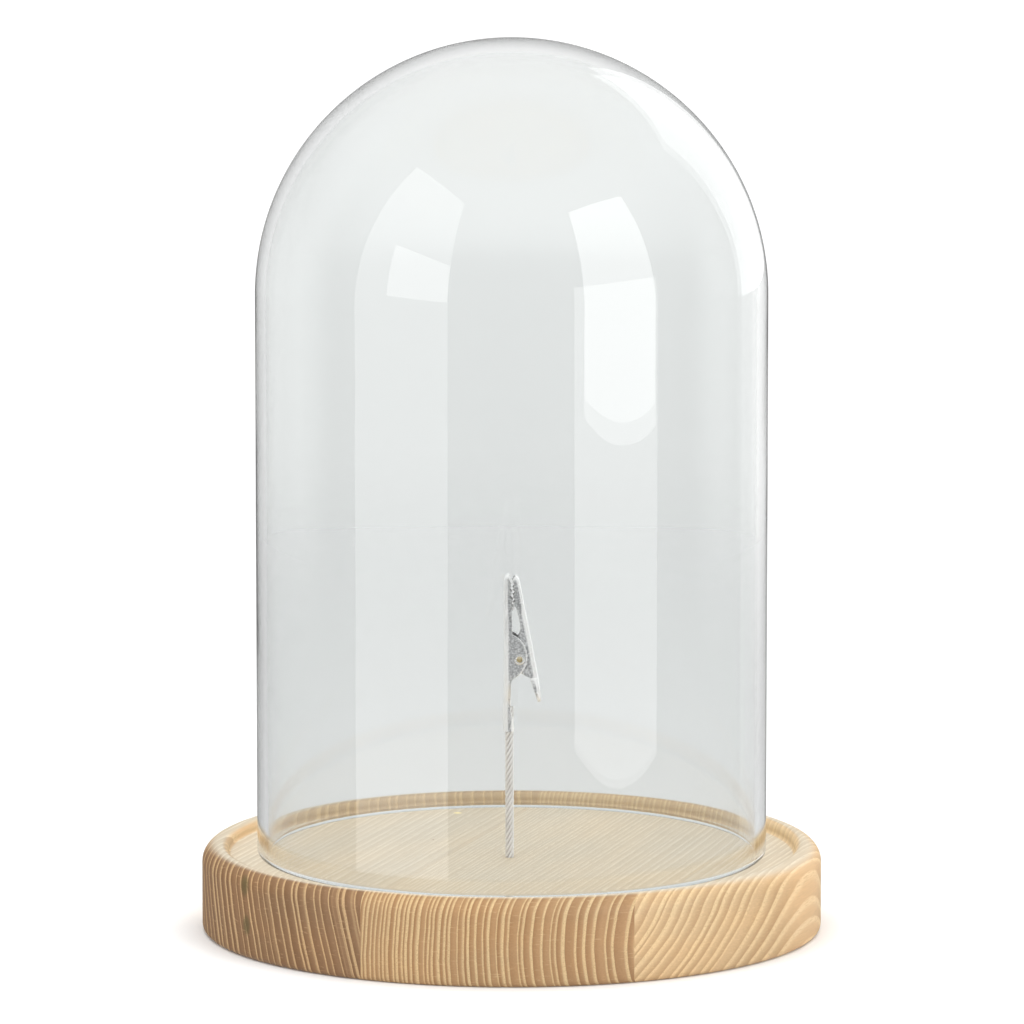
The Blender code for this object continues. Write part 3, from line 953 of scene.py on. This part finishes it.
class BELLJAR_OT_jaws(bpy.types.Operator):
    """Build the two folded jaws of the clip"""

    bl_idname = "bell_jar.jaws"
    bl_label = "Jaws"

    def execute(self, context):
        clip = context.scene.bell_jar_clip
        finish = plate_finish("nickel_plate", clip)
        jaws = (("jaw_with_crimp", fixed_jaw_loops, "base", "clip_fixed_jaw"),
                ("jaw_with_thumb_tail", moving_jaw_loops, "moving_jaw", "clip_moving_jaw"))
        for name, loops, body, node in jaws:
            mesh = drilled(lofted(name, loops(clip)), clip.ear_hole, 8 * MM, PIVOT, along_y=True)
            stand_in(add_piece(name, mesh, finish, 50), body, "clip_plate", node)
        return {"FINISHED"}


class BELLJAR_OT_rivet(bpy.types.Operator):
    """Build the hollow rivet that the jaws turn on"""

    bl_idname = "bell_jar.rivet"
    bl_label = "Rivet"

    def execute(self, context):
        clip = context.scene.bell_jar_clip
        ear_face = clip.fixed_ear + clip.sheet / 2 + 0.06 * MM
        rim = clip.rivet_rim / 2
        middle = (clip.rivet_head + clip.rivet_bore) / 2
        reach = (clip.rivet_head - clip.rivet_bore) / 2
        top = [(clip.rivet_radius, ear_face), (clip.rivet_head - 0.08 * MM, ear_face)]
        for cosine, sine in arc((0, 0), 1, 0, 180, 18):
            top.append((middle + reach * cosine, ear_face + rim + rim * sine))
        profile = top + [(radius, -along) for radius, along in reversed(top)]
        bm = turned(profile, 64, closed=True)
        bmesh.ops.rotate(bm, verts=bm.verts, cent=(0, 0, 0), matrix=Matrix.Rotation(math.pi / 2, 3, "X"))
        bmesh.ops.translate(bm, verts=bm.verts, vec=PIVOT)
        piece = add_piece("rivet", mesh_of("rivet", bm), rivet_finish(clip), 50)
        stand_in(piece, "base", "rivet", "clip_rivet")
        return {"FINISHED"}


class BELLJAR_OT_spring(bpy.types.Operator):
    """Build the torsion spring, which twists between the jaws"""

    bl_idname = "bell_jar.spring"
    bl_label = "Spring"

    def execute(self, context):
        clip = context.scene.bell_jar_clip
        half = clip.spring_turns * clip.spring_pitch / 2
        steps = round(clip.spring_turns * 40)
        coil = []
        for step in range(steps + 1):
            turn = math.pi - math.tau * clip.spring_turns * step / steps
            across = -half + 2 * half * step / steps
            coil.append(PIVOT + Vector((clip.spring_coil * math.cos(turn), across,
                                        clip.spring_coil * math.sin(turn))))
        fixed_leg = [PIVOT + Vector((x * MM, -half, z * MM)) for x, z in ((-2.95, -6.6), (-2.0, -3.2))]
        moving_leg = [PIVOT + Vector((x * MM, half, z * MM)) for x, z in ((2.5, -3.2), (3.75, -6.0))]
        fine = 8
        leg_in = smooth_path(fixed_leg + coil[:2], fine)
        leg_out = smooth_path(coil[-2:] + moving_leg, fine)
        path = leg_in[:-fine - 1] + coil[:-1] + leg_out[fine:]
        mesh = mesh_from_parts("spring", [tube(path, clip.spring_wire, 12)])
        finish = plate_finish("spring_wire", clip)
        piece = add_piece("spring", mesh, finish, 60)
        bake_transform(piece)
        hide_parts("clip_spring")
        return {"FINISHED"}


# ---------------------------------------------------------------- studio

def floor_finish(radius):
    """A white table top that fades into the backdrop, shows nothing from below, and is painted greyer where
    it is seen through glass, a painted shade that stands in for the bare studio beside a white backdrop."""
    finish = Finish("white_table")
    x, y, z = finish.place()
    tooth = finish.noise((x, y, z), 0.05, 2.0)
    white = finish.mix(tooth, (0.90, 0.90, 0.90), (0.93, 0.93, 0.93))
    # Painted shade: the table is darker where it is seen through glass.
    through = finish.mix(finish.light_path("Is Transmission Ray"), white, (0.72, 0.72, 0.72))
    finish.surface(Base_Color=through, Roughness=0.9, Specular_IOR_Level=0.0)
    gone = finish.step(finish.away(x, y), 0.30 * radius / MM, 0.95 * radius / MM)
    below = finish.node("ShaderNodeNewGeometry", output="Backfacing")
    finish.let_through(finish.maths("MAXIMUM", gone, below), (1.0, 1.0, 1.0))
    return finish.material


def build_world(studio):
    """White behind the object, a bright ceiling, and a dim room for reflections."""
    world = bpy.data.worlds.new("studio")
    world.use_nodes = True
    finish = Finish("studio", world.node_tree)
    ways = finish.node("ShaderNodeTexCoord", output="Generated")
    right, back, up = [finish.node("ShaderNodeSeparateXYZ", sockets={0: ways}, output=axis)
                       for axis in range(3)]
    side = finish.step(right, -0.2, 0.9, studio.room, studio.room * 1.5)
    high = finish.step(up, 0.25, 0.80)
    low = finish.step(up, -0.55, -0.30, 1.0, 0.0)
    lit = side + (studio.ceiling - side) * high + (studio.table_glow - side) * low
    white = finish.step(up, -0.19, -0.09, studio.backdrop, studio.backdrop * 1.16)
    seen = finish.light_path("Is Camera Ray", "Is Transmission Ray") * finish.step(back, 0.0, 0.4)
    background = world.node_tree.nodes["Background"]
    finish.feed(background.inputs["Color"], (1.0, 1.0, 1.0))
    finish.feed(background.inputs["Strength"], lit + (white - lit) * seen)
    bpy.context.scene.world = world


def lamp_panel(name, width, height, radiance):
    """A rectangular light that faces down until it is turned."""
    data = bpy.data.lights.new(name, "AREA")
    data.shape = "RECTANGLE"
    data.size, data.size_y = width, height
    data.energy = radiance * math.pi * width * height
    lamp = bpy.data.objects.new(name, data)
    bpy.context.scene.collection.objects.link(lamp)
    lamp.visible_camera = False
    return lamp


def soft_box(name, start, end, low, high, radiance):
    """An upright light of an even radiance between two places on the plan, facing the object."""
    start, end = Vector((*start, 0.0)), Vector((*end, 0.0))
    run = end - start
    facing = Vector((-run.y, run.x, 0.0))
    if facing.dot(start + end) > 0:
        facing.negate()
    lamp = lamp_panel(name, run.length, high - low, radiance)
    lamp.location = (start + end) / 2 + Vector((0.0, 0.0, (low + high) / 2))
    lamp.rotation_euler = facing.to_track_quat("-Z", "Y").to_euler()
    return lamp


def near_box(name, start, end, low, high, radiance, shine):
    """A soft box beside the camera, which isn't seen through the glass. A second one just behind it, `shine`
    times as bright and only for gloss, makes up for the mirror image in the glass's inner face."""
    lamp = soft_box(name, start, end, low, high, radiance)
    mirrored = soft_box(name + "_shine", start, end, low, high, radiance * shine)
    lamp.visible_transmission = False
    mirrored.visible_transmission = False
    mirrored.visible_diffuse = False
    mirrored.location *= 1.01


class BELLJAR_OT_studio(bpy.types.Operator):
    """Set up the camera, the table and the lights"""

    bl_idname = "bell_jar.studio"
    bl_label = "Studio"

    def execute(self, context):
        studio = context.scene.bell_jar_studio
        context.scene.view_settings.view_transform = "Standard"
        build_world(studio)

        bm = bmesh.new()
        bmesh.ops.create_circle(bm, cap_ends=True, segments=128, radius=studio.floor_radius)
        mesh = bpy.data.meshes.new("table")
        bm.to_mesh(mesh)
        bm.free()
        table = add_piece("table", mesh, floor_finish(studio.floor_radius))
        table.visible_glossy = False

        near_box("left_box", (-0.666, -0.223), (-0.430, -0.823), -0.20, 1.08, studio.box_left, 0.6)
        near_box("left_lamp", (-0.560, -0.385), (-0.421, -0.800), 0.19, 0.44, studio.box_left * 0.4, 4.0)
        near_box("right_box", (0.79, -1.27), (1.35, -0.60), -0.07, 1.45, studio.box_right, 0.9)
        near_box("right_glow", (0.74, -1.42), (1.45, -0.61), -0.22, 0.40, studio.box_right * 0.7, 0.6)
        soft_box("back_right_box", (1.02, 0.66), (0.36, 1.20), 0.06, 1.10, studio.box_right * 0.45)
        soft_box("back_right_glow", (1.04, 0.68), (0.38, 1.22), -0.25, 0.06, studio.box_right * 0.14)
        overhead = lamp_panel("overhead", 1.2, 1.2, studio.overhead)
        overhead.location = (0.0, 0.1, 1.4)
        overhead.visible_glossy = False
        overhead.visible_transmission = False

        camera = bpy.data.objects.new("camera", bpy.data.cameras.new("camera"))
        context.scene.collection.objects.link(camera)
        camera.data.lens = studio.lens
        camera.data.sensor_width = 36.0
        camera.data.clip_start, camera.data.clip_end = 0.1, 20.0
        camera.location = (0.00008, -studio.distance, studio.camera_height)
        camera.rotation_euler = (math.pi / 2 - studio.tilt, 0.0, 0.0)
        context.scene.camera = camera
        return {"FINISHED"}


# ---------------------------------------------------------------- add-on

OPERATORS = (
    BELLJAR_OT_base,
    BELLJAR_OT_dome,
    BELLJAR_OT_stem,
    BELLJAR_OT_jaws,
    BELLJAR_OT_rivet,
    BELLJAR_OT_spring,
    BELLJAR_OT_studio,
)


class BELLJAR_PT_build(bpy.types.Panel):
    """Buttons that build the dome, piece by piece"""

    bl_idname = "BELLJAR_PT_build"
    bl_label = "Bell Jar"
    bl_space_type = "VIEW_3D"
    bl_region_type = "UI"
    bl_category = "Bell Jar"

    def draw(self, context):
        for operator in OPERATORS:
            self.layout.operator(operator.bl_idname, text=operator.bl_label)


CLASSES = (BoardSettings, BaseSettings, DomeSettings, StemSettings, ClipSettings, StudioSettings,
           *OPERATORS, BELLJAR_PT_build)


def register():
    for cls in CLASSES:
        bpy.utils.register_class(cls)
    for name, group in SETTINGS.items():
        setattr(bpy.types.Scene, name, PointerProperty(type=group))


def unregister():
    for name in SETTINGS:
        delattr(bpy.types.Scene, name)
    for cls in reversed(CLASSES):
        bpy.utils.unregister_class(cls)


def set_boards(scene):
    """The three boards came from different trees."""
    trees = (
        ("left", (130.0, 46.0), (7.0, 1.0, 0.55, 0.48), screen(146, 112, 79), screen(204, 172, 128)),
        ("middle", (84.0, 9.0), (1.9, 0.8, 0.5, 0.50), screen(177, 141, 101), screen(214, 188, 144)),
        ("right", (18.0, 28.0), (1.6, 0.0, 0.5, 0.52), screen(208, 177, 136), screen(226, 200, 156)),
    )
    for side, pith, rings, band, line in trees:
        board = getattr(scene, f"bell_jar_{side}_board")
        board.pith_across, board.pith_height = pith
        board.ring, board.crowding, board.swing, board.line_width = rings
        board.band, board.line = band, line


def main():
    register()
    set_boards(bpy.context.scene)
    for step in ("studio", "base", "dome", "stem", "jaws", "rivet", "spring"):
        getattr(bpy.ops.bell_jar, step)()


if __name__ == "__main__":
    main()
